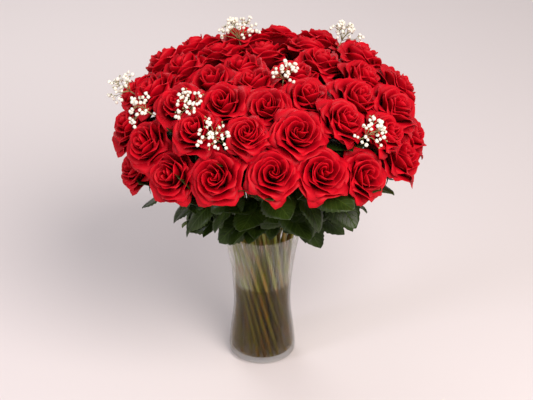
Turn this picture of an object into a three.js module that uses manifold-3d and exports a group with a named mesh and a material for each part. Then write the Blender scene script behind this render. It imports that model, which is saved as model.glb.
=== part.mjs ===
// Fifty cut roses and a few sprigs of baby's breath in a waisted glass vase of water.
//
// Millimetres, +Z up. The origin is the middle of the vase's underside and -Y is the front.
// The stems are straight in the vase, where the bunch is twisted into a spiral, and bend outwards
// above the rim. They carry their heads on one dome, every head facing away from the dome's heart.

import * as THREE from 'three';
import { mergeVertices } from 'three/addons/utils/BufferGeometryUtils.js';
import Module from 'manifold-3d';

// Driving dimensions, in millimetres and degrees

const GAP = 0.3; // kept between solids that would touch

const VASE = {
  height: 203,
  rimRadius: 56,
  neckRadius: 41,
  neckHeight: 88,
  bellyRadius: 48,
  cornerRadius: 7, // outside corner between wall and foot
  wall: 3,
  floor: 9,
  flare: 1.8, // power of the curve from neck to rim
  segments: 28,
};

const WATER = { level: 117 };

const BUNCH = {
  neckClearance: 1.5, // between the outermost stem and the glass at the vase's neck
  mouthClearance: 5.2, // and at its mouth, which sets how far the bunch is twisted
  footClearance: 1.2, // between a stem's foot and the vase's floor
  headTurn: 45, // how far a stem goes on turning between the neck and its head
  lift: 0.7, // share of the way to its head that a stem keeps its first direction
  tuck: 0.15, // and the share that it runs along its head's axis
};

const DOME = {
  rowsOut: 3, // heads side by side from the middle to the side
  rowsUp: 2, // heads from the dome's foot to its top
  flattening: 5, // how much wider and lower it is than whole rows
  fullness: 0.5, // 1 is a plain half ellipsoid, less has fuller shoulders
  lean: 10, // how far its middle stands to the right of the vase's
  rise: 127, // of its foot above the vase's rim
  heartDepth: 100, // below its foot, the point that every head faces away from
  lowestPolar: 76,
  sideDroop: 18, // how much lower the heads hang at the sides than at the front
};

const ROSE = {
  stemRadius: 2.5,
  stemSides: 5,
  stemClearance: 3.2, // to the next stem at the vase's neck
  bendSteps: 5,
  headRadius: 29.5,
  headDepth: 54,
  headClearance: 9, // to the next head
};

const LEAF = {
  length: 52,
  width: 34,
  thickness: 1.2,
  stalk: 20,
  stalkWidth: 3,
  droop: 38,
  place: 0.44, // along the stem
  highestPolar: 60, // roses nearer to the dome's top carry no leaf
};

const SPRIG = {
  stemRadius: 1.2,
  stemSides: 4,
  stemClearance: 2.6,
  bendSteps: 6,
  headWidth: 10, // what it takes up between the roses
  twigRadius: 0.9,
  twigs: 5,
  twigLength: 34,
  spread: 38,
  budRadius: 3.2,
};

// Where the heads start before they settle: the polar angle of a tier and the azimuths of its roses
const TIERS = [
  { polar: 3, azimuths: [165] },
  { polar: 9, azimuths: [-115, -28, 80] },
  { polar: 17, azimuths: [-135, -63, 12, 45, 130, 172] },
  { polar: 27, azimuths: [-120, -98, -34, -8, 30, 62, 105, 148] },
  { polar: 43, azimuths: [-160, -137, -88, -62, -10, 18, 48, 82, 125, 160] },
  { polar: 62, azimuths: [-138, -118, -101, -44, -8, 24, 92, 120] },
  { polar: 72, azimuths: [-174, -133, -65, -28, 62, 148] },
  { polar: 82, azimuths: [-152, -114, -85, -52, 10, 45, 80, 120] },
];

// Sprigs stand between the roses. Size scales the sprig's twigs.
const SPRIGS = [
  { azimuth: 116, polar: 16, size: 1.3 },
  { azimuth: -80, polar: 3, size: 0.8 },
  { azimuth: -172, polar: 53, size: 1 },
  { azimuth: -150, polar: 52, size: 0.8 },
  { azimuth: -124, polar: 46, size: 0.9 },
  { azimuth: -110, polar: 54, size: 0.9 },
  { azimuth: -52, polar: 49, size: 0.9 },
  { azimuth: 45, polar: 34, size: 1 },
];

// Sizes that follow from the driving ones

const bunchRadius = VASE.neckRadius - VASE.wall - ROSE.stemRadius - BUNCH.neckClearance;
const mouthRadius = VASE.rimRadius - VASE.wall - ROSE.stemRadius - BUNCH.mouthClearance;
const twist = Math.sqrt((mouthRadius / bunchRadius) ** 2 - 1) / (VASE.height - VASE.neckHeight);
const headWidth = 2 * ROSE.headRadius + ROSE.headClearance;
const domeRadius = DOME.rowsOut * headWidth + DOME.flattening;
const domeHeight = DOME.rowsUp * headWidth - DOME.flattening;
const domeCentre = new THREE.Vector3(DOME.lean, 0, VASE.height + DOME.rise);
const domeHeart = new THREE.Vector3(DOME.lean, 0, domeCentre.z - DOME.heartDepth);

// Solids

const wasm = await Module();
wasm.setup();

function toSolid(geometry) {
  const bare = geometry.index ? geometry.toNonIndexed() : geometry.clone();
  bare.deleteAttribute('normal');
  bare.deleteAttribute('uv');
  const merged = mergeVertices(bare, 1e-3);
  return new wasm.Manifold(
    new wasm.Mesh({
      numProp: 3,
      vertProperties: merged.attributes.position.array,
      triVerts: new Uint32Array(merged.index.array),
    }),
  );
}

function toGeometry(solid) {
  const mesh = solid.getMesh();
  const geometry = new THREE.BufferGeometry();
  geometry.setAttribute('position', new THREE.BufferAttribute(mesh.vertProperties, 3));
  geometry.setIndex(new THREE.BufferAttribute(mesh.triVerts, 1));
  geometry.computeVertexNormals();
  return geometry;
}

// One solid from several geometries that run into each other.
function joined(geometries) {
  return geometries.map(toSolid).reduce((whole, piece) => whole.add(piece));
}

function lathe(profile, segments) {
  return new THREE.LatheGeometry(profile, segments).rotateX(Math.PI / 2);
}

function tube(curve, radius, sides, steps) {
  const section = new THREE.Shape();
  for (let i = 0; i < sides; i++) {
    const a = (i / sides) * 2 * Math.PI;
    if (i === 0) section.moveTo(radius * Math.cos(a), radius * Math.sin(a));
    else section.lineTo(radius * Math.cos(a), radius * Math.sin(a));
  }
  section.closePath();
  return new THREE.ExtrudeGeometry(section, { steps, extrudePath: curve });
}

const radians = THREE.MathUtils.degToRad;
const degrees = THREE.MathUtils.radToDeg;

// Vase

function vaseRadius(z) {
  if (z > VASE.neckHeight) {
    const up = (z - VASE.neckHeight) / (VASE.height - VASE.neckHeight);
    return VASE.neckRadius + (VASE.rimRadius - VASE.neckRadius) * up ** VASE.flare;
  }
  const down = Math.min(1, (VASE.neckHeight - z) / (VASE.neckHeight - VASE.cornerRadius));
  return VASE.neckRadius + ((VASE.bellyRadius - VASE.neckRadius) * (1 - Math.cos(Math.PI * down))) / 2;
}

function arc(x, z, radius, fromDegrees, toDegrees, steps) {
  const points = [];
  for (let i = 0; i <= steps; i++) {
    const a = radians(fromDegrees + ((toDegrees - fromDegrees) * i) / steps);
    points.push(new THREE.Vector2(x + radius * Math.cos(a), z + radius * Math.sin(a)));
  }
  return points;
}

// The wall's points between two heights, the outside one or, with an inset, the inside one.
function wallPoints(from, to, inset, steps) {
  const points = [];
  for (let i = 0; i <= steps; i++) {
    const z = from + ((to - from) * i) / steps;
    points.push(new THREE.Vector2(vaseRadius(z) - inset, z));
  }
  return points;
}

function vaseProfile() {
  const lip = VASE.wall / 2;
  const insideCorner = VASE.cornerRadius - VASE.wall / 2;
  const insideRadius = VASE.bellyRadius - VASE.wall;
  return [
    new THREE.Vector2(0, 0),
    ...arc(VASE.bellyRadius - VASE.cornerRadius, VASE.cornerRadius, VASE.cornerRadius, -90, 0, 3),
    ...wallPoints(VASE.cornerRadius, VASE.height - lip, 0, 9).slice(1),
    ...arc(VASE.rimRadius - lip, VASE.height - lip, lip, 45, 180, 3),
    ...wallPoints(VASE.height - lip, VASE.floor + insideCorner, VASE.wall, 9).slice(1),
    ...arc(insideRadius - insideCorner, VASE.floor + insideCorner, insideCorner, -30, -90, 2),
    new THREE.Vector2(0, VASE.floor),
  ];
}

// Dome of heads

function bulge(value, power) {
  return Math.sign(value) * Math.abs(value) ** power;
}

class Head {
  constructor(azimuth, polar, kind, width) {
    this.kind = kind;
    this.width = width;
    const out = domeRadius * bulge(Math.sin(radians(polar)), DOME.fullness);
    this.face = new THREE.Vector3(
      out * Math.cos(radians(azimuth)),
      out * Math.sin(radians(azimuth)),
      domeHeight * bulge(Math.cos(radians(polar)), DOME.fullness),
    ).add(domeCentre);
  }

  get azimuth() {
    return Math.atan2(this.face.y - domeCentre.y, this.face.x - domeCentre.x);
  }

  get polar() {
    const across = Math.hypot(this.face.x - domeCentre.x, this.face.y - domeCentre.y) / domeRadius;
    const up = (this.face.z - domeCentre.z) / domeHeight;
    return Math.atan2(bulge(across, 1 / DOME.fullness), bulge(up, 1 / DOME.fullness));
  }

  get axis() {
    return this.face.clone().sub(domeHeart).normalize();
  }

  behind(distance) {
    return this.face.clone().addScaledVector(this.axis, -distance);
  }

  // Puts the face back on the dome, no lower than the dome's skirt.
  settle() {
    const azimuth = this.azimuth;
    const skirt = DOME.lowestPolar + DOME.sideDroop * Math.cos(azimuth) ** 2;
    const polar = Math.min(degrees(this.polar), skirt);
    this.face.copy(new Head(degrees(azimuth), polar, this.kind, this.width).face);
  }
}

// Points push each other apart until neighbours are half of both widths apart. After each round
// they are put back where they belong.
function pushApart(points, widths, putBack) {
  for (let round = 0; round < 300; round++) {
    points.forEach((a, i) =>
      points.slice(i + 1).forEach((b, j) => {
        const apart = b.clone().sub(a);
        const short = (widths[i] + widths[i + 1 + j]) / 2 - apart.length();
        if (short <= 0) return;
        apart.setLength(short / 4);
        a.sub(apart);
        b.add(apart);
      }),
    );
    putBack();
  }
}

function settledHeads() {
  const roses = TIERS.flatMap((tier) =>
    tier.azimuths.map((azimuth) => new Head(azimuth, tier.polar, ROSE, headWidth)),
  );
  const sprigs = SPRIGS.map((sprig) => new Head(sprig.azimuth, sprig.polar, SPRIG, SPRIG.headWidth));
  const all = [...roses, ...sprigs];
  pushApart(
    all.map((head) => head.face),
    all.map((head) => head.width),
    () => all.forEach((head) => head.settle()),
  );
  setNecks(all);
  return { roses, sprigs };
}

// Where each head's stem passes the vase's neck, in the heads' own order about the axis.
function setNecks(all) {
  all.forEach((head) => {
    const out = bunchRadius * Math.min(1, head.polar / radians(DOME.lowestPolar));
    const turn = head.azimuth + radians(BUNCH.headTurn);
    head.neck = new THREE.Vector3(out * Math.cos(turn), out * Math.sin(turn), 0);
  });
  pushApart(
    all.map((head) => head.neck),
    all.map((head) => 2 * head.kind.stemRadius + head.kind.stemClearance),
    () => all.forEach((head) => head.neck.clampLength(0, bunchRadius)),
  );
}

// Stems

// A stem is straight from the vase's floor to the rim and then bends over to the back of its head.
class StemCurve extends THREE.Curve {
  constructor(head, end, bendSteps) {
    super();
    this.steps = bendSteps + 1;
    const along = new THREE.Vector3(head.neck.y * twist, -head.neck.x * twist, 1);
    const at = (z) => head.neck.clone().addScaledVector(along, z - VASE.neckHeight).setZ(z);
    this.foot = at(VASE.floor + BUNCH.footClearance);
    this.rim = at(VASE.height);
    const reach = end.distanceTo(this.rim);
    const lift = this.rim.clone().addScaledVector(along.normalize(), BUNCH.lift * reach);
    const tuck = end.clone().addScaledVector(head.axis, -BUNCH.tuck * reach);
    this.bend = new THREE.CubicBezierCurve3(this.rim, lift, tuck, end);
  }

  getPoint(t, target = new THREE.Vector3()) {
    const step = t * this.steps;
    return step < 1
      ? target.lerpVectors(this.foot, this.rim, step)
      : this.bend.getPoint((step - 1) / (this.steps - 1), target);
  }

  // Keeps the first step as the whole straight length.
  getUtoTmapping(u) {
    return u;
  }
}

// Roses

function bloomGeometry(head) {
  const { headRadius: r, headDepth: h, stemRadius } = ROSE;
  const profile = [
    [0, 0],
    [stemRadius + 3, 0.04 * h],
    [0.34 * r, 0.16 * h],
    [0.76 * r, 0.38 * h],
    [r, 0.7 * h],
    [0.86 * r, 0.93 * h],
    [0.3 * r, h],
    [0, 0.98 * h],
  ].map(([x, y]) => new THREE.Vector2(x, y));
  const upright = new THREE.Quaternion().setFromUnitVectors(new THREE.Vector3(0, 0, 1), head.axis);
  const back = head.behind(h);
  return lathe(profile, 8).applyQuaternion(upright).translate(back.x, back.y, back.z);
}

function leafGeometry(stem) {
  const { length: l, width: w } = LEAF;
  const outline = new THREE.Shape();
  outline.moveTo(0, -LEAF.stalkWidth / 2);
  outline.lineTo(LEAF.stalk, -LEAF.stalkWidth / 2);
  outline.lineTo(LEAF.stalk + 0.35 * l, -w / 2);
  outline.lineTo(LEAF.stalk + 0.72 * l, -0.36 * w);
  outline.lineTo(LEAF.stalk + l, 0);
  outline.lineTo(LEAF.stalk + 0.72 * l, 0.36 * w);
  outline.lineTo(LEAF.stalk + 0.35 * l, w / 2);
  outline.lineTo(LEAF.stalk, LEAF.stalkWidth / 2);
  outline.lineTo(0, LEAF.stalkWidth / 2);
  const base = stem.getPoint(LEAF.place);
  const outwards = Math.atan2(base.y, base.x);
  return new THREE.ExtrudeGeometry(outline, { depth: LEAF.thickness, bevelEnabled: false })
    .translate(0, 0, -LEAF.thickness / 2)
    .rotateY(radians(LEAF.droop))
    .rotateZ(outwards)
    .translate(base.x, base.y, base.z);
}

function roseGeometry(head) {
  const inside = 4; // how far the stem's end stands in the head
  const stem = new StemCurve(head, head.behind(ROSE.headDepth - inside), ROSE.bendSteps);
  const pieces = [tube(stem, ROSE.stemRadius, ROSE.stemSides, stem.steps), bloomGeometry(head)];
  if (head.polar > radians(LEAF.highestPolar)) pieces.push(leafGeometry(stem));
  return toGeometry(joined(pieces));
}

// Baby's breath

function twigGeometries(from, axis, around, length) {
  const side = new THREE.Vector3(0, 0, 1).cross(axis).normalize().applyAxisAngle(axis, around);
  const way = axis.clone().applyAxisAngle(side, radians(SPRIG.spread));
  const tip = from.clone().addScaledVector(way, length);
  const bud = new THREE.IcosahedronGeometry(SPRIG.budRadius).translate(tip.x, tip.y, tip.z);
  return [tube(new THREE.LineCurve3(from, tip), SPRIG.twigRadius, 4, 1), bud];
}

function sprigGeometry(head, size) {
  const fork = head.face;
  const stem = new StemCurve(head, fork, SPRIG.bendSteps);
  const pieces = [tube(stem, SPRIG.stemRadius, SPRIG.stemSides, stem.steps)];
  const length = SPRIG.twigLength * size;
  for (let i = 0; i < SPRIG.twigs; i++) {
    const shorter = 1 - 0.25 * (i % 2);
    pieces.push(...twigGeometries(fork, head.axis, (i / SPRIG.twigs) * 2 * Math.PI, length * shorter));
  }
  return toGeometry(joined(pieces));
}

// Water

// Everything inside the vase up to the water's level, less the stems and their clearance.
function waterGeometry(all) {
  const insideCorner = VASE.cornerRadius - VASE.wall / 2;
  const inset = VASE.wall + GAP;
  const corner = VASE.bellyRadius - inset - insideCorner;
  const fill = toSolid(
    lathe(
      [
        new THREE.Vector2(0, VASE.floor + GAP),
        ...arc(corner, VASE.floor + GAP + insideCorner, insideCorner, -90, -30, 2),
        ...wallPoints(VASE.floor + insideCorner + GAP, WATER.level, inset, 5).slice(1),
        new THREE.Vector2(0, WATER.level),
      ],
      VASE.segments,
    ),
  );
  return toGeometry(all.reduce((rest, head) => rest.subtract(stemHole(head)), fill));
}

function stemHole(head) {
  const stem = new StemCurve(head, head.face, 1);
  const way = stem.rim.clone().sub(stem.foot).normalize();
  const hole = new THREE.LineCurve3(stem.foot.clone().addScaledVector(way, -GAP), stem.rim);
  return toSolid(tube(hole, head.kind.stemRadius + GAP, head.kind.stemSides, 1));
}

// Assembly

function clearMaterial(color, opacity) {
  return new THREE.MeshStandardMaterial({ color, opacity, transparent: true, roughness: 0.05 });
}

const MATERIALS = {
  glass: clearMaterial(0xdfe6e2, 0.35),
  water: clearMaterial(0xc9cfae, 0.4),
  rose: new THREE.MeshStandardMaterial({ color: 0xb0101c, roughness: 0.6 }),
  sprig: new THREE.MeshStandardMaterial({ color: 0xf2efe2, roughness: 0.8 }),
};

function addMesh(group, name, geometry, material) {
  const mesh = new THREE.Mesh(geometry, material);
  mesh.name = name;
  group.add(mesh);
}

const numbered = (name, i) => `${name}_${String(i + 1).padStart(2, '0')}`;

const bouquet = new THREE.Group();
const { roses, sprigs } = settledHeads();
addMesh(bouquet, 'vase', lathe(vaseProfile(), VASE.segments), MATERIALS.glass);
addMesh(bouquet, 'water', waterGeometry([...roses, ...sprigs]), MATERIALS.water);
roses.forEach((head, i) => addMesh(bouquet, numbered('rose', i), roseGeometry(head), MATERIALS.rose));
sprigs.forEach((head, i) =>
  addMesh(bouquet, numbered('babys_breath', i), sprigGeometry(head, SPRIGS[i].size), MATERIALS.sprig),
);

export default bouquet;
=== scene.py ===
import math
import random

import bmesh
import bpy
from mathutils import Matrix, Vector


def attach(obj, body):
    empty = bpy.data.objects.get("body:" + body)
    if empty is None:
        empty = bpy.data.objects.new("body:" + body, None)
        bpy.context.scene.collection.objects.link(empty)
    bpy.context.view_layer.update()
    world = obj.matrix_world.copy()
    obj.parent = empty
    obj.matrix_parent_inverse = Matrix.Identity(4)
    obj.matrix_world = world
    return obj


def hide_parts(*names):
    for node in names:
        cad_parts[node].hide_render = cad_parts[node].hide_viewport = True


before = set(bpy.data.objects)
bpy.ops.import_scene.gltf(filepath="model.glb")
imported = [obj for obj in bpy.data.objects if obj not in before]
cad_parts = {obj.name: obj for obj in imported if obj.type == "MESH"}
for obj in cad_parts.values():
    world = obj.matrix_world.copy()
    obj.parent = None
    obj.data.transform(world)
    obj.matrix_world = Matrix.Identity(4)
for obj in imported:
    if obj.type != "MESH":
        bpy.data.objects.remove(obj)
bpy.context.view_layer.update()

# Fifty red roses and eight sprigs of baby's breath in a waisted glass vase of water.
# Sizes are in millimetres and angles in degrees until a mesh is finished, then metres.

mm = 0.001
up = Vector((0, 0, 1))
print("frame loaded:", len(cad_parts), "nodes")


def linearColour(hexText):
    channels = [int(hexText[i:i + 2], 16) / 255 for i in (1, 3, 5)]
    return [c / 12.92 if c <= 0.04045 else ((c + 0.055) / 1.055) ** 2.4 for c in channels] + [1]


def addNode(tree, kind, inputs=None, **settings):
    node = tree.nodes.new(kind)
    for name, value in settings.items():
        setattr(node, name, value)
    for name, value in (inputs or {}).items():
        if isinstance(value, bpy.types.NodeSocket):
            tree.links.new(value, node.inputs[name])
        else:
            node.inputs[name].default_value = value
    return node


def newMaterial(name):
    material = bpy.data.materials.new(name)
    material.use_nodes = True
    tree = material.node_tree
    tree.nodes.clear()
    return material, tree


def blend(tree, factor, low, high, mode="MIX"):
    mix = addNode(tree, "ShaderNodeMix", {0: factor, 6: low, 7: high}, data_type="RGBA", blend_type=mode)
    return mix.outputs[2]


def cloudNoise(tree, scale, detail):
    spot = addNode(tree, "ShaderNodeTexCoord")
    return addNode(
        tree, "ShaderNodeTexNoise",
        {"Vector": spot.outputs["Object"], "Scale": scale, "Detail": detail},
    )


def finishMaterial(tree, inputs):
    shader = addNode(tree, "ShaderNodeBsdfPrincipled", inputs)
    addNode(tree, "ShaderNodeOutputMaterial", {"Surface": shader.outputs[0]})


def smoothStep(low, high, value):
    t = min(1, max(0, (value - low) / (high - low)))
    return t * t * (3 - 2 * t)


# makes the mesh a piece of the object, in metres, in the place of a CAD node
def makePiece(name, bm, materials, node, smooth=True):
    bmesh.ops.scale(bm, vec=(mm, mm, mm), verts=bm.verts)
    mesh = bpy.data.meshes.new(name)
    bm.to_mesh(mesh)
    bm.free()
    for face in mesh.polygons:
        face.use_smooth = smooth
    piece = bpy.data.objects.new(name, mesh)
    bpy.context.collection.objects.link(piece)
    for material in materials:
        mesh.materials.append(material)
    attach(piece, "root")
    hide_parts(node)
    return piece


def thicken(piece, thickness, offset=0, backMaterial=0):
    solid = piece.modifiers.new("thickness", "SOLIDIFY")
    solid.thickness = thickness * mm
    solid.offset = offset
    solid.material_offset = backMaterial


view = {
    "place": (6.4, -2097, 1361),
    "pitch": 28,
    "lens": 114,
    "keyWatts": 62,
    "fillWatts": 11,
    "backWatts": 12,
    "air": "#f1ecec",
    "airStrength": 0.46,
    "floor": "#e2dada",
}

cameraData = bpy.data.cameras.new("camera")
cameraData.lens = view["lens"]
cameraData.sensor_width = 36
camera = bpy.data.objects.new("camera", cameraData)
camera.location = Vector(view["place"]) * mm
camera.rotation_euler = (math.radians(90 - view["pitch"]), 0, 0)
bpy.context.collection.objects.link(camera)
bpy.context.scene.camera = camera
bpy.context.scene.view_settings.view_transform = "Standard"  # keeps the reds as deep as they are


def addLamp(name, place, target, size, watts, colour):
    data = bpy.data.lights.new(name, "AREA")
    data.shape = "DISK"
    data.size = size
    data.energy = watts
    data.color = linearColour(colour)[:3]
    lamp = bpy.data.objects.new(name, data)
    lamp.location = place
    lamp.rotation_euler = (Vector(target) - Vector(place)).to_track_quat("-Z", "Y").to_euler()
    bpy.context.collection.objects.link(lamp)


addLamp("keyLight", (0.9, -1.5, 1.9), (0, 0, 0.3), 1.5, view["keyWatts"], "#fff6f0")
addLamp("fillLight", (-1.7, -1.0, 1.0), (0, 0, 0.2), 0.6, view["fillWatts"], "#f3f1ff")
addLamp("backLight", (-0.6, 1.6, 1.5), (0, 0, 0.35), 1.2, view["backWatts"], "#ffffff")

world = bpy.data.worlds.new("studio")
world.use_nodes = True
world.node_tree.nodes["Background"].inputs["Color"].default_value = linearColour(view["air"])
world.node_tree.nodes["Background"].inputs["Strength"].default_value = view["airStrength"]
bpy.context.scene.world = world


def makeFloor():
    material, tree = newMaterial("seamless backdrop paper")  # matte, even, faintly warm
    finishMaterial(tree, {"Base Color": linearColour(view["floor"]), "Roughness": 0.9})
    bm = bmesh.new()
    bmesh.ops.create_grid(bm, x_segments=1, y_segments=1, size=7)
    mesh = bpy.data.meshes.new("floor")
    bm.to_mesh(mesh)
    bm.free()
    mesh.materials.append(material)
    floor = bpy.data.objects.new("floor", mesh)
    bpy.context.collection.objects.link(floor)


makeFloor()
print("camera, lights and floor set")


# where the heads and stems are, as in the CAD model
bunch = {
    "headWidth": 68,
    "sprigWidth": 10,
    "domeRadius": 209,
    "domeHeight": 131,
    "fullness": 0.5,
    "centre": (10, 0, 330),
    "heart": (10, 0, 230),
    "lowestPolar": 76,
    "sideDroop": 18,
    "neckRadius": 34,
    "mouthRadius": 45.3,
    "stemWidth": 8.2,
    "sprigStemWidth": 5,
    "headTurn": 45,
    "lift": 0.7,
    "tuck": 0.15,
    "neckHeight": 88,
    "stemFoot": 10.2,
    "rimHeight": 203,
    "bloomDepth": 54,
    # polar angle of each tier and the azimuths of its roses
    "tiers": {
        3: (165,),
        9: (-115, -28, 80),
        17: (-135, -63, 12, 45, 130, 172),
        27: (-120, -98, -34, -8, 30, 62, 105, 148),
        43: (-160, -137, -88, -62, -10, 18, 48, 82, 125, 160),
        62: (-138, -118, -101, -44, -8, 24, 92, 120),
        72: (-174, -133, -65, -28, 62, 148),
        82: (-152, -114, -85, -52, 10, 45, 80, 120),
    },
    # azimuth, polar angle and size of each sprig
    "sprigs": (
        (116, 16, 1.3), (-80, 3, 0.8), (-172, 53, 1), (-150, 52, 0.8),
        (-124, 46, 0.9), (-110, 54, 0.9), (-52, 49, 0.9), (45, 34, 1),
    ),
}
# how far a stem turns about the vase's axis for each millimetre that it rises
twist = math.sqrt((bunch["mouthRadius"] / bunch["neckRadius"]) ** 2 - 1)
twist /= bunch["rimHeight"] - bunch["neckHeight"]


def bulge(value, power):
    return math.copysign(abs(value) ** power, value)


class Head:
    def __init__(self, azimuth, polar, width, neckWidth, size=1):
        self.width = width
        self.neckWidth = neckWidth
        self.size = size
        self.face = [0, 0, 0]
        self.neck = [0, 0, 0]
        self.put(math.radians(azimuth), math.radians(polar))

    def put(self, azimuth, polar):
        out = bunch["domeRadius"] * bulge(math.sin(polar), bunch["fullness"])
        self.face[0] = bunch["centre"][0] + out * math.cos(azimuth)
        self.face[1] = bunch["centre"][1] + out * math.sin(azimuth)
        self.face[2] = bunch["centre"][2] + bunch["domeHeight"] * bulge(math.cos(polar), bunch["fullness"])

    def azimuth(self):
        return math.atan2(self.face[1] - bunch["centre"][1], self.face[0] - bunch["centre"][0])

    def polar(self):
        x, y, z = (a - b for a, b in zip(self.face, bunch["centre"]))
        across = math.hypot(x, y) / bunch["domeRadius"]
        rise = z / bunch["domeHeight"]
        return math.atan2(bulge(across, 1 / bunch["fullness"]), bulge(rise, 1 / bunch["fullness"]))

    def settle(self):
        azimuth = self.azimuth()
        skirt = math.radians(bunch["lowestPolar"] + bunch["sideDroop"] * math.cos(azimuth) ** 2)
        self.put(azimuth, min(self.polar(), skirt))

    def axis(self):
        return (Vector(self.face) - Vector(bunch["heart"])).normalized()

    def behind(self, distance):
        return Vector(self.face) - self.axis() * distance


# points push each other apart until neighbours are half of both widths apart
def pushApart(points, widths, putBack):
    for _ in range(300):
        for i, a in enumerate(points):
            for j in range(i + 1, len(points)):
                b = points[j]
                x, y, z = b[0] - a[0], b[1] - a[1], b[2] - a[2]
                distance = math.sqrt(x * x + y * y + z * z)
                short = (widths[i] + widths[j]) / 2 - distance
                if short > 0:
                    share = short / 4 / distance
                    a[0] -= x * share
                    a[1] -= y * share
                    a[2] -= z * share
                    b[0] += x * share
                    b[1] += y * share
                    b[2] += z * share
        putBack()


def settledHeads():
    roses = [
        Head(azimuth, polar, bunch["headWidth"], bunch["stemWidth"])
        for polar, azimuths in bunch["tiers"].items()
        for azimuth in azimuths
    ]
    sprigs = [
        Head(azimuth, polar, bunch["sprigWidth"], bunch["sprigStemWidth"], size)
        for azimuth, polar, size in bunch["sprigs"]
    ]
    everyHead = roses + sprigs

    def settleFaces():
        for head in everyHead:
            head.settle()

    def keepInNeck():
        for head in everyHead:
            out = math.hypot(head.neck[0], head.neck[1])
            if out > bunch["neckRadius"]:
                head.neck[0] *= bunch["neckRadius"] / out
                head.neck[1] *= bunch["neckRadius"] / out

    pushApart([head.face for head in everyHead], [head.width for head in everyHead], settleFaces)
    for head in everyHead:
        out = bunch["neckRadius"] * min(1, head.polar() / math.radians(bunch["lowestPolar"]))
        turn = head.azimuth() + math.radians(bunch["headTurn"])
        head.neck[0] = out * math.cos(turn)
        head.neck[1] = out * math.sin(turn)
    pushApart([head.neck for head in everyHead], [head.neckWidth for head in everyHead], keepInNeck)
    return roses, sprigs


# a stem is straight from its foot to the rim and then bends over to the back of its head
def stemPath(head, end, straightSteps, bendSteps):
    along = Vector((head.neck[1] * twist, -head.neck[0] * twist, 1))

    def at(height):
        return Vector(head.neck[:2] + [bunch["neckHeight"]]) + along * (height - bunch["neckHeight"])

    foot, rim = at(bunch["stemFoot"]), at(bunch["rimHeight"])
    reach = (end - rim).length
    lift = rim + along.normalized() * bunch["lift"] * reach
    tuck = end - head.axis() * bunch["tuck"] * reach
    path = [foot.lerp(rim, i / straightSteps) for i in range(straightSteps)]
    for i in range(bendSteps + 1):
        t = i / bendSteps
        s = 1 - t
        path.append(s ** 3 * rim + 3 * s * s * t * lift + 3 * s * t * t * tuck + t ** 3 * end)
    return path


roses, sprigs = settledHeads()
print("heads settled:", len(roses), "roses and", len(sprigs), "sprigs")


# grows a closed tube along a path by extruding its end again and again
def growTube(bm, path, radii, sides):
    tangents = [(b - a).normalized() for a, b in zip(path, path[1:])]
    middle = [(a + b).normalized() for a, b in zip(tangents, tangents[1:])]
    tangents = [tangents[0]] + middle + [tangents[-1]]
    turn = up.rotation_difference(tangents[0])
    places = []
    for i, point in enumerate(path):
        if i:
            turn = tangents[i - 1].rotation_difference(tangents[i]) @ turn
        places.append(Matrix.LocRotScale(point, turn, Vector((radii[i],) * 3)))
    made = bmesh.ops.create_circle(bm, cap_ends=True, segments=sides, radius=1, matrix=places[0])
    tip = made["verts"][0].link_faces[0]
    grownVerts = set(made["verts"])
    for before, after in zip(places, places[1:]):
        grown = bmesh.ops.extrude_face_region(bm, geom=[tip])["geom"]
        tip = next(part for part in grown if isinstance(part, bmesh.types.BMFace))
        bmesh.ops.transform(bm, matrix=after @ before.inverted(), verts=tip.verts)
        grownVerts.update(tip.verts)
    bmesh.ops.recalc_face_normals(bm, faces=list({face for vert in grownVerts for face in vert.link_faces}))


# a flat blade shaped by a function of its across (-1 to 1) and along (0 to 1) places
def addBlade(bm, across, along, shape, place):
    made = bmesh.ops.create_grid(bm, x_segments=across, y_segments=along, size=1, calc_uvs=True)
    for vert in made["verts"]:
        vert.co = shape(vert.co.x, (vert.co.y + 1) / 2)
    bmesh.ops.transform(bm, matrix=place, verts=made["verts"])
    return made["verts"]


petals = {
    # painted shade: this darkest red stands in for the shadow deep in the cup between the petals
    "paintedCupShade": "#2c0003",
    "bright": "#c2021b",
    # painted highlight: this lighter red on the petal lips stands in for light caught by the rims
    "edge": "#da0720",
    "sheen": "#ff1c30",
    "thickness": 0.5,
    "across": 8,
    "along": 9,
    "tilt": 7,
    "size": (0.97, 1.07),
    "openness": (0.95, 1.08),
    "budShare": 0.12,
    "budOpenness": (0.74, 0.85),
    # each ring from the middle outwards: how many, radius at the top, height, half width,
    # how far the tip curls out, how far the sides roll out, how far one side tucks in
    "rings": (
        (2, 3.2, 50.5, 8, 0.3, 0, 2.4),
        (3, 6.2, 52, 12, 1.2, 0.2, 3),
        (3, 10, 51.5, 17, 2.2, 0.6, 3.6),
        (4, 14.5, 50, 19, 3.2, 1.4, 3.6),
        (4, 19, 47.5, 25, 5, 2.6, 3.8),
        (5, 23.5, 43, 26, 7.5, 4.2, 3.2),
        (5, 26, 35, 28, 9, 6, 2.4),
    ),
}


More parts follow.
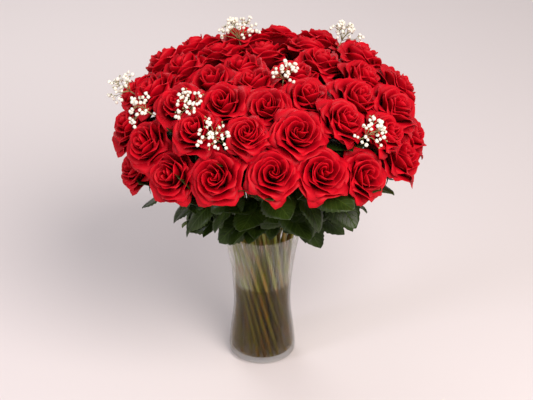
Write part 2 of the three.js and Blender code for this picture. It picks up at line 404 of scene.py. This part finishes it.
def petalMaterial():
    # velvety, almost no mirror gloss: painted shade darkens the colour down into the cup, a painted
    # highlight lightens the lips, and the sheen lifts the rolled edges
    material, tree = newMaterial("red rose petal")
    place = addNode(tree, "ShaderNodeUVMap", uv_map="blade")
    parts = addNode(tree, "ShaderNodeSeparateXYZ", {"Vector": place.outputs[0]})
    height = parts.outputs["Y"]
    # painted shade: the colour is darkest low in each petal, where the petals around it shade the cup
    cup = addNode(
        tree, "ShaderNodeMapRange",
        {"Value": height, "From Min": 0.34, "From Max": 0.9, "To Min": 0.0, "To Max": 1.0},
    )
    body = blend(tree, cup.outputs[0], linearColour(petals["paintedCupShade"]), linearColour(petals["bright"]))
    # painted highlight: the lip, the top fifth of each petal, is lightened as if it caught the light
    lip = addNode(
        tree, "ShaderNodeMapRange",
        {"Value": height, "From Min": 0.8, "From Max": 1.0, "To Min": 0.0, "To Max": 0.8},
    )
    body = blend(tree, lip.outputs[0], body, linearColour(petals["edge"]))
    cloud = cloudNoise(tree, 45, 3)
    shade = addNode(
        tree, "ShaderNodeMapRange",
        {"Value": cloud.outputs[0], "From Min": 0.3, "From Max": 0.7, "To Min": 0.72, "To Max": 1.0},
    )
    body = blend(tree, 1.0, body, shade.outputs[0], "MULTIPLY")
    # veins run from the claw to the lip, about a millimetre apart
    stretch = addNode(tree, "ShaderNodeMapping", {"Vector": place.outputs[0], "Scale": (34, 2.2, 1)})
    veins = addNode(tree, "ShaderNodeTexNoise", {"Vector": stretch.outputs[0], "Scale": 1, "Detail": 2})
    relief = addNode(
        tree, "ShaderNodeBump",
        {"Height": veins.outputs[0], "Strength": 0.35, "Distance": 0.0004},
    )
    finishMaterial(tree, {
        "Base Color": body,
        "Roughness": 0.5,
        "Specular IOR Level": 0.14,
        "Sheen Weight": 0.22,
        "Sheen Roughness": 0.45,
        "Sheen Tint": linearColour(petals["sheen"]),
        "Subsurface Weight": 0.08,
        "Subsurface Radius": (0.004, 0.0006, 0.0005),
        "Subsurface Scale": 1.0,
        "Normal": relief.outputs[0],
    })
    return material


def petalShape(ring, openness, rng):
    radius, height, halfWidth, curl, roll, tuck = ring[1:]
    height = height * rng.uniform(0.97, 1.03) * (1 + 0.012 * radius * (1 - openness))
    radius = radius * openness
    curl = curl * openness * rng.uniform(0.75, 1.25)
    roll = roll * rng.uniform(0.7, 1.3)
    point = rng.uniform(0.1, 0.2)
    wave = rng.uniform(0, 6.28)

    def shape(u, v):
        cup = math.sin(min(1, 0.08 + v * 1.02) * math.pi / 2) ** 1.15
        out = 2.5 + (radius - 2.5) * cup
        tip = smoothStep(0.62, 1, v)
        side = smoothStep(0.45, 1, abs(u))
        width = halfWidth * (0.3 + 0.7 * math.sin(math.pi * min(0.93, 0.1 + 0.62 * v)) ** 0.8)
        width *= 1 - 0.32 * smoothStep(0.8, 1, v)
        out += tuck * u
        out += curl * tip ** 1.5 + roll * side * smoothStep(0.3, 0.9, v)
        angle = u * width / max(4, 0.55 * radius + 0.45 * out)
        z = height * (v ** 0.9) * (1 - point * u * u * v)
        z -= curl * 0.55 * tip ** 2 + roll * 0.35 * side * tip
        z += 0.5 * math.sin(5 * u + wave) * tip * min(1, radius / 15)
        out += 0.5 * math.sin(4 * u + wave * 2) * tip * min(1, radius / 15)
        return Vector((out * math.cos(angle), out * math.sin(angle), z))

    return shape


def makePetals(name, head, rng, material):
    bud = rng.random() < petals["budShare"]
    openness = rng.uniform(*petals["budOpenness" if bud else "openness"])
    place = (
        Matrix.Translation(head.behind(bunch["bloomDepth"]))
        @ up.rotation_difference(head.axis()).to_matrix().to_4x4()
        @ Matrix.Rotation(math.radians(rng.uniform(-1, 1) * petals["tilt"]), 4, "X")
        @ Matrix.Rotation(math.radians(rng.uniform(-1, 1) * petals["tilt"]), 4, "Y")
        @ Matrix.Scale(rng.uniform(*petals["size"]), 4)
    )
    bm = bmesh.new()
    bm.loops.layers.uv.new("blade")
    turn = rng.uniform(0, 360)
    for ring in petals["rings"]:
        turn += rng.uniform(40, 80)
        for i in range(ring[0]):
            around = math.radians(turn + 360 * (i + rng.uniform(-0.1, 0.1)) / ring[0])
            lean = Matrix.Rotation(math.radians(rng.uniform(-2.5, 2.5)), 4, "X")
            addBlade(
                bm, petals["across"], petals["along"], petalShape(ring, openness, rng),
                place @ Matrix.Rotation(around, 4, "Z") @ lean,
            )
    piece = makePiece(f"{name}_petals", bm, [material], name)
    thicken(piece, petals["thickness"])


# stems, hips, sepals and leaves of the roses
greens = {
    "stem": "#727414",
    "stemRed": "#8a4512",
    "leaf": "#1e2c08",
    "leafLight": "#3d501a",
    "leafBack": "#76874a",
    "leafBackDark": "#4f5f33",
    "stemRadius": (2.7, 2.1),
    "stemSides": 8,
    "hipRadius": 5.5,
    "hipLength": 10,
    "hipRise": 4,
    "sepalLength": 30,
    "leafletLength": 57,
    "leafletWidth": 47,
    # where each leaflet points, its place along the stalk and its size
    "leaflets": ((0, 1, 1), (60, 0.62, 0.84), (-60, 0.62, 0.84)),
    "stalk": 20,
    "droop": 38,
    "highestPolar": 60,
    "teeth": 18,
}


def stemMaterial():
    # waxy green skin with a brown flush on the side that had the sun
    material, tree = newMaterial("rose stem skin")
    spot = addNode(tree, "ShaderNodeTexCoord")
    stretch = addNode(tree, "ShaderNodeMapping", {"Vector": spot.outputs["Object"], "Scale": (1, 1, 0.25)})
    cloud = addNode(tree, "ShaderNodeTexNoise", {"Vector": stretch.outputs[0], "Scale": 90, "Detail": 4})
    flush = addNode(
        tree, "ShaderNodeMapRange",
        {"Value": cloud.outputs[0], "From Min": 0.45, "From Max": 0.75, "To Min": 0.0, "To Max": 0.8},
    )
    body = blend(tree, flush.outputs[0], linearColour(greens["stem"]), linearColour(greens["stemRed"]))
    relief = addNode(
        tree, "ShaderNodeBump",
        {"Height": cloud.outputs[0], "Strength": 0.3, "Distance": 0.0005},
    )
    finishMaterial(tree, {"Base Color": body, "Roughness": 0.42, "Normal": relief.outputs[0]})
    return material


def leafMaterial(name, dark, light, roughness):
    material, tree = newMaterial(name)
    place = addNode(tree, "ShaderNodeUVMap", uv_map="blade")
    parts = addNode(tree, "ShaderNodeSeparateXYZ", {"Vector": place.outputs[0]})
    # distance from the midrib
    away = addNode(tree, "ShaderNodeMath", {0: parts.outputs["X"], 1: 0.5}, operation="SUBTRACT")
    away = addNode(tree, "ShaderNodeMath", {0: away.outputs[0]}, operation="ABSOLUTE")
    # side veins slant forward from the midrib, about 6 mm apart
    slant = addNode(
        tree, "ShaderNodeMath",
        {0: away.outputs[0], 1: -0.55, 2: parts.outputs["Y"]}, operation="MULTIPLY_ADD",
    )
    wave = addNode(tree, "ShaderNodeMath", {0: slant.outputs[0], 1: 52}, operation="MULTIPLY")
    wave = addNode(tree, "ShaderNodeMath", {0: wave.outputs[0]}, operation="SINE")
    sideVein = addNode(
        tree, "ShaderNodeMapRange",
        {"Value": wave.outputs[0], "From Min": 0.75, "From Max": 1.0, "To Min": 0.0, "To Max": 0.5},
    )
    midrib = addNode(
        tree, "ShaderNodeMapRange",
        {"Value": away.outputs[0], "From Min": 0.0, "From Max": 0.035, "To Min": 1.0, "To Max": 0.0},
    )
    vein = addNode(
        tree, "ShaderNodeMath",
        {0: sideVein.outputs[0], 1: midrib.outputs[0]}, operation="MAXIMUM",
    )
    cloud = cloudNoise(tree, 38, 3)
    shade = addNode(
        tree, "ShaderNodeMapRange",
        {"Value": cloud.outputs[0], "From Min": 0.35, "From Max": 0.7, "To Min": 0.0, "To Max": 0.6},
    )
    body = blend(tree, shade.outputs[0], linearColour(dark), linearColour(light))
    body = blend(tree, vein.outputs[0], body, linearColour(light))
    relief = addNode(
        tree, "ShaderNodeBump",
        {"Height": vein.outputs[0], "Strength": 0.6, "Distance": 0.0006},
        invert=True,
    )
    finishMaterial(tree, {
        "Base Color": body,
        "Roughness": roughness,
        "Specular IOR Level": 0.26,
        "Normal": relief.outputs[0],
    })
    return material


def leafletShape(length, width, rng):
    fold = rng.uniform(0.1, 0.32)
    bend = rng.uniform(-0.15, 0.6)
    sway = rng.uniform(-0.12, 0.12)
    wave = rng.uniform(0, 6.28)

    def shape(u, v):
        outline = math.sin(math.pi * v ** 0.8) ** 0.7 * (1 - 0.1 * v)
        x = u * width / 2 * max(0.02, outline)
        if abs(u) > 0.99:
            x *= 1 + 0.05 * math.cos(v * greens["teeth"] * math.pi)
        y = length * v * (1 - 0.2 * abs(bend) * v)
        z = -length * 0.45 * bend * v * v + fold * abs(x) - 0.012 * x * x
        z += 1.3 * math.sin(8 * v + wave) * abs(u)
        return Vector((x + length * sway * v * v, y, z))

    return shape


def sepalShape(length, reflex):
    def shape(u, v):
        x = u * 3.2 * (1 - v) ** 0.7 * (0.5 + v * (1 - v) * 2.5)
        angle = math.radians(reflex) * v
        out = 4.2 + length * math.sin(angle * 0.5 + 0.35) * v
        return Vector((x, out, 2 + length * v * math.cos(angle) * 0.8))

    return shape


def makeStem(name, head, rng, material):
    back = head.behind(bunch["bloomDepth"] - greens["hipRise"])
    path = stemPath(head, back, 3, 12)
    low, high = greens["stemRadius"]
    radii = [low + (high - low) * i / (len(path) - 1) for i in range(len(path))]
    bm = bmesh.new()
    growTube(bm, path, radii, greens["stemSides"])
    axis = head.axis()
    aim = up.rotation_difference(axis).to_matrix().to_4x4()
    bmesh.ops.create_uvsphere(
        bm, u_segments=10, v_segments=7, radius=1,
        matrix=Matrix.Translation(back + axis) @ aim
        @ Matrix.Diagonal((greens["hipRadius"], greens["hipRadius"], greens["hipLength"] / 2 + 2, 1)),
    )
    for i in range(4, len(path) - 2):
        if rng.random() < 0.6:
            way = (path[i + 1] - path[i]).normalized()
            side = way.cross(Vector((rng.uniform(-1, 1), rng.uniform(-1, 1), 0.1))).normalized()
            at = path[i].lerp(path[i + 1], rng.random()) + side * (radii[i] + 1.0)
            turn = up.rotation_difference((side - way * 0.5).normalized()).to_matrix().to_4x4()
            bmesh.ops.create_cone(
                bm, cap_ends=True, segments=5, radius1=1.5, radius2=0.1, depth=4,
                matrix=Matrix.Translation(at) @ turn,
            )
    makePiece(f"{name}_stem", bm, [material], name)
    return path


# a leaf of a few leaflets on one stalk, hanging outwards from a place on the stem
def addLeaf(bm, base, aside, droop, leaflets, rng):
    outwards = math.atan2(base.y, base.x) + math.radians(aside)
    hang = (
        Matrix.Translation(base)
        @ Matrix.Rotation(outwards - math.pi / 2, 4, "Z")
        @ Matrix.Rotation(-math.radians(droop), 4, "X")
        @ Matrix.Rotation(math.radians(rng.uniform(-25, 25)), 4, "Y")
    )
    stalk = greens["stalk"]
    growTube(bm, [hang @ Vector((0, stalk * i / 3, 0)) for i in range(4)], [0.9, 0.8, 0.7, 0.6], 5)
    size = rng.uniform(0.8, 1.12)
    for turnSide, along, scale in greens["leaflets"][:leaflets]:
        leafTurn = (
            Matrix.Translation((0, stalk * along, 0))
            @ Matrix.Rotation(math.radians(turnSide + rng.uniform(-12, 12)), 4, "Z")
            @ Matrix.Rotation(math.radians(rng.uniform(-30, 30)), 4, "Y")
            @ Matrix.Rotation(math.radians(rng.uniform(-15, 15)), 4, "X")
        )
        grown = scale * size
        shape = leafletShape(greens["leafletLength"] * grown, greens["leafletWidth"] * grown, rng)
        addBlade(bm, 6, greens["teeth"], shape, hang @ leafTurn)


def makeLeaves(name, head, path, rng, materials):
    bm = bmesh.new()
    bm.loops.layers.uv.new("blade")
    place = Matrix.Translation(head.behind(bunch["bloomDepth"]))
    aim = place @ up.rotation_difference(head.axis()).to_matrix().to_4x4()
    for i in range(5):
        around = Matrix.Rotation(math.radians(72 * i + rng.uniform(-10, 10)), 4, "Z")
        length = greens["sepalLength"] * rng.uniform(0.8, 1.1)
        addBlade(bm, 2, 6, sepalShape(length, rng.uniform(60, 150)), aim @ around)
    if math.degrees(head.polar()) > greens["highestPolar"]:
        addLeaf(bm, path[7], rng.uniform(-15, 15), greens["droop"] + rng.uniform(-15, 12), 3, rng)
        addLeaf(bm, path[5], rng.uniform(-60, 60), rng.uniform(0, 50), 3, rng)
        addLeaf(bm, path[10], rng.uniform(-70, 70), rng.uniform(0, 45), 1, rng)
    else:
        addLeaf(bm, path[9], rng.uniform(-180, 180), rng.uniform(-10, 25), 3, rng)
    for aside in (-100, 20, 140):
        addLeaf(bm, path[12], aside + rng.uniform(-30, 30), rng.uniform(-18, 12), 1, rng)
    piece = makePiece(f"{name}_leaves", bm, materials, name)
    thicken(piece, 0.5, backMaterial=1)


petalSkin = petalMaterial()
stemSkin = stemMaterial()
# the upper side has a waxy gloss, the underside is pale and matte
leafTop = leafMaterial("rose leaf upper side", greens["leaf"], greens["leafLight"], 0.38)
leafUnder = leafMaterial("rose leaf underside", greens["leafBackDark"], greens["leafBack"], 0.6)
for number, head in enumerate(roses, 1):
    nodeName = f"rose_{number:02d}"
    rng = random.Random(number)
    makePetals(nodeName, head, rng, petalSkin)
    stemLine = makeStem(nodeName, head, rng, stemSkin)
    makeLeaves(nodeName, head, stemLine, rng, [leafTop, leafUnder])
print("roses made")


breath = {
    "flower": "#fbf8ec",
    "flowerShade": "#d9d6b8",
    "twig": "#8d9560",
    "joint": "#a08f60",
    "stemRadius": 0.7,
    "twigRadius": 0.4,
    "twigs": 6,
    "twigLength": 35,
    "spread": 50,
    "flowerRadius": (1.9, 2.7),
    "budRadius": 1.1,
    "buds": 0.4,
    "tuckedIn": 8,
}


def flowerMaterial():
    # papery, creamy white
    material, tree = newMaterial("baby's breath petal")
    cloud = cloudNoise(tree, 700, 2)
    shade = addNode(
        tree, "ShaderNodeMapRange",
        {"Value": cloud.outputs[0], "From Min": 0.45, "From Max": 0.7, "To Min": 0.0, "To Max": 0.7},
    )
    pale, shaded = linearColour(breath["flower"]), linearColour(breath["flowerShade"])
    body = blend(tree, shade.outputs[0], pale, shaded)
    relief = addNode(
        tree, "ShaderNodeBump",
        {"Height": cloud.outputs[0], "Strength": 0.7, "Distance": 0.0006},
    )
    finishMaterial(tree, {"Base Color": body, "Roughness": 0.8, "Normal": relief.outputs[0]})
    return material


def twigMaterial():
    # thin, dry, pale green with tan joints
    material, tree = newMaterial("baby's breath twig")
    spot = addNode(tree, "ShaderNodeTexCoord")
    cloud = addNode(tree, "ShaderNodeTexNoise", {"Vector": spot.outputs["Object"], "Scale": 120})
    body = blend(tree, cloud.outputs[0], linearColour(breath["twig"]), linearColour(breath["joint"]))
    finishMaterial(tree, {"Base Color": body, "Roughness": 0.7})
    return material


def turned(axis, around, spread, rng):
    side = up.cross(axis).normalized()
    way = axis.copy()
    way.rotate(Matrix.Rotation(math.radians(spread), 3, side))
    way.rotate(Matrix.Rotation(around, 3, axis))
    return way


# a double flower is a crumpled ball, a bud a small smooth one
def addFlower(bm, at, radius, crumple, rng):
    made = bmesh.ops.create_uvsphere(
        bm, u_segments=7, v_segments=5, radius=radius, matrix=Matrix.Translation(at),
    )
    for vert in made["verts"]:
        vert.co = at + (vert.co - at) * rng.uniform(1 - crumple, 1 + crumple)


def makeSprig(name, head, rng, materials):
    twigs = bmesh.new()
    flowers = bmesh.new()
    fork = head.behind(breath["tuckedIn"])
    path = stemPath(head, fork, 2, 10)
    growTube(twigs, path, [breath["stemRadius"]] * len(path), 6)
    length = breath["twigLength"] * head.size
    thin = breath["twigRadius"]
    twigCount = round(breath["twigs"] * head.size ** 2)
    for i in range(twigCount + 2):
        spread = breath["spread"] * (rng.uniform(0.2, 0.4) if i >= twigCount else rng.uniform(0.7, 1.3))
        way = turned(head.axis(), math.tau * (i + rng.uniform(-0.3, 0.3)) / twigCount, spread, rng)
        joint = fork + way * length * rng.uniform(0.3, 0.62)
        bow = fork.lerp(joint, 0.5) + Vector((0, 0, 1.5))
        growTube(twigs, [fork, bow, joint], [thin * 1.3, thin * 1.1, thin], 5)
        for j in range(3):
            fine = turned(way, math.tau * (j + rng.uniform(-0.3, 0.3)) / 3, rng.uniform(15, 55), rng)
            knee = joint + fine * breath["twigLength"] * rng.uniform(0.14, 0.3)
            growTube(twigs, [joint, knee], [thin * 0.8, thin * 0.7], 4)
            addFlower(flowers, knee + fine * 1.5, rng.uniform(*breath["flowerRadius"]), 0.2, rng)
            last = turned(fine, math.tau * rng.random(), rng.uniform(35, 70), rng)
            end = knee + last * breath["twigLength"] * rng.uniform(0.1, 0.2)
            growTube(twigs, [knee, end], [thin * 0.7, thin * 0.6], 4)
            if rng.random() < breath["buds"]:
                addFlower(twigs, end, breath["budRadius"], 0.05, rng)
            else:
                addFlower(flowers, end + last, rng.uniform(*breath["flowerRadius"]), 0.2, rng)
    makePiece(f"{name}_twigs", twigs, [materials[0]], name)
    makePiece(f"{name}_flowers", flowers, [materials[1]], name)


sprigSkins = [twigMaterial(), flowerMaterial()]
for number, head in enumerate(sprigs, 1):
    makeSprig(f"babys_breath_{number:02d}", head, random.Random(100 + number), sprigSkins)
print("sprigs made")


vase = {
    "height": 203,
    "rimRadius": 56,
    "neckRadius": 41,
    "neckHeight": 88,
    "bellyRadius": 48,
    "cornerRadius": 7,
    "wall": 3,
    "floor": 9,
    "flare": 1.8,
    "waterLevel": 117,
    "waterSink": 0.15,
    "glassAlpha": (0.1, 1),
    "waterAlpha": 0.66,
    "waterTint": "#9c6f26",
    "segments": 96,
}


def vaseRadius(z):
    if z > vase["neckHeight"]:
        rise = (z - vase["neckHeight"]) / (vase["height"] - vase["neckHeight"])
        return vase["neckRadius"] + (vase["rimRadius"] - vase["neckRadius"]) * rise ** vase["flare"]
    drop = min(1, (vase["neckHeight"] - z) / (vase["neckHeight"] - vase["cornerRadius"]))
    belly = vase["bellyRadius"] - vase["neckRadius"]
    return vase["neckRadius"] + belly * (1 - math.cos(math.pi * drop)) / 2


def wallLine(low, high, inset, steps):
    heights = [low + (high - low) * i / steps for i in range(steps + 1)]
    return [(vaseRadius(z) - inset, z) for z in heights]


def arcLine(x, z, radius, start, end, steps):
    angles = [math.radians(start + (end - start) * i / steps) for i in range(steps + 1)]
    return [(x + radius * math.cos(a), z + radius * math.sin(a)) for a in angles]


# spins a profile of radius and height once round
def turnProfile(profile):
    bm = bmesh.new()
    verts = [bm.verts.new((x, 0, z)) for x, z in profile]
    edges = [bm.edges.new(pair) for pair in zip(verts, verts[1:])]
    bmesh.ops.spin(
        bm, geom=verts + edges, cent=(0, 0, 0), axis=(0, 0, 1), angle=math.tau,
        steps=vase["segments"], use_merge=True,
    )
    bmesh.ops.remove_doubles(bm, verts=bm.verts, dist=0.001)
    bmesh.ops.recalc_face_normals(bm, faces=bm.faces)
    return bm


# clear where it is seen square on, and bending light more and more towards its outline
def clearness(tree, facing, edge):
    outline = addNode(tree, "ShaderNodeLayerWeight", {"Blend": 0.5})
    sharp = addNode(tree, "ShaderNodeMath", {0: outline.outputs["Facing"], 1: 2.5}, operation="POWER")
    alpha = addNode(
        tree, "ShaderNodeMapRange",
        {"Value": sharp.outputs[0], "To Min": facing, "To Max": edge},
    )
    return alpha.outputs[0]


def glassMaterial():
    # pressed clear glass, fire polished: mirror smooth, faintly green where it is thick
    material, tree = newMaterial("soda-lime glass")
    finishMaterial(tree, {
        "Base Color": linearColour("#f4faf7"),
        "Roughness": 0.0,
        "Specular IOR Level": 1.0,
        "IOR": 1.5,
        "Transmission Weight": 1.0,
        "Alpha": clearness(tree, *vase["glassAlpha"]),
    })
    return material


def waterMaterial():
    # clear, with a brown tint from the stems
    material, tree = newMaterial("vase water")
    finishMaterial(tree, {
        "Base Color": linearColour(vase["waterTint"]),
        "Roughness": 0.0,
        "IOR": 1.33,
        "Transmission Weight": 1.0,
        "Alpha": vase["waterAlpha"],
    })
    return material


def makeVase():
    lip = vase["wall"] / 2
    corner = vase["cornerRadius"]
    inside = corner - lip
    floor = vase["floor"]
    reach = vase["bellyRadius"]
    profile = [(0, 0), (reach - corner - 4, 0)]
    profile += arcLine(reach - corner, corner, corner, -90, 0, 8)
    profile += wallLine(corner, vase["height"] - lip, 0, 40)[1:]
    profile += arcLine(vase["rimRadius"] - lip, vase["height"] - lip, lip, 20, 180, 7)
    profile += wallLine(vase["height"] - lip, floor + inside, vase["wall"], 40)[1:]
    profile += arcLine(reach - vase["wall"] - inside, floor + inside, inside, -12, -90, 6)
    profile += [(0, floor)]
    makePiece("vase_glass", turnProfile(profile), [glassMaterial()], "vase")
    # the water runs a hair into the glass, so no air shows between them
    sink = vase["waterSink"]
    level = vase["waterLevel"]
    under = floor - sink
    water = [(0, under)]
    water += arcLine(reach - vase["wall"] - inside, under + inside, inside + sink, -90, -12, 6)
    water += wallLine(floor + inside, level, vase["wall"] - sink, 20)[1:]
    water += [(vaseRadius(level) - vase["wall"] + sink, level + 0.8)]
    water += [(vaseRadius(level) - vase["wall"] - 1.5, level), (0, level)]
    makePiece("vase_water", turnProfile(water), [waterMaterial()], "water")


makeVase()
print("vase and water made")
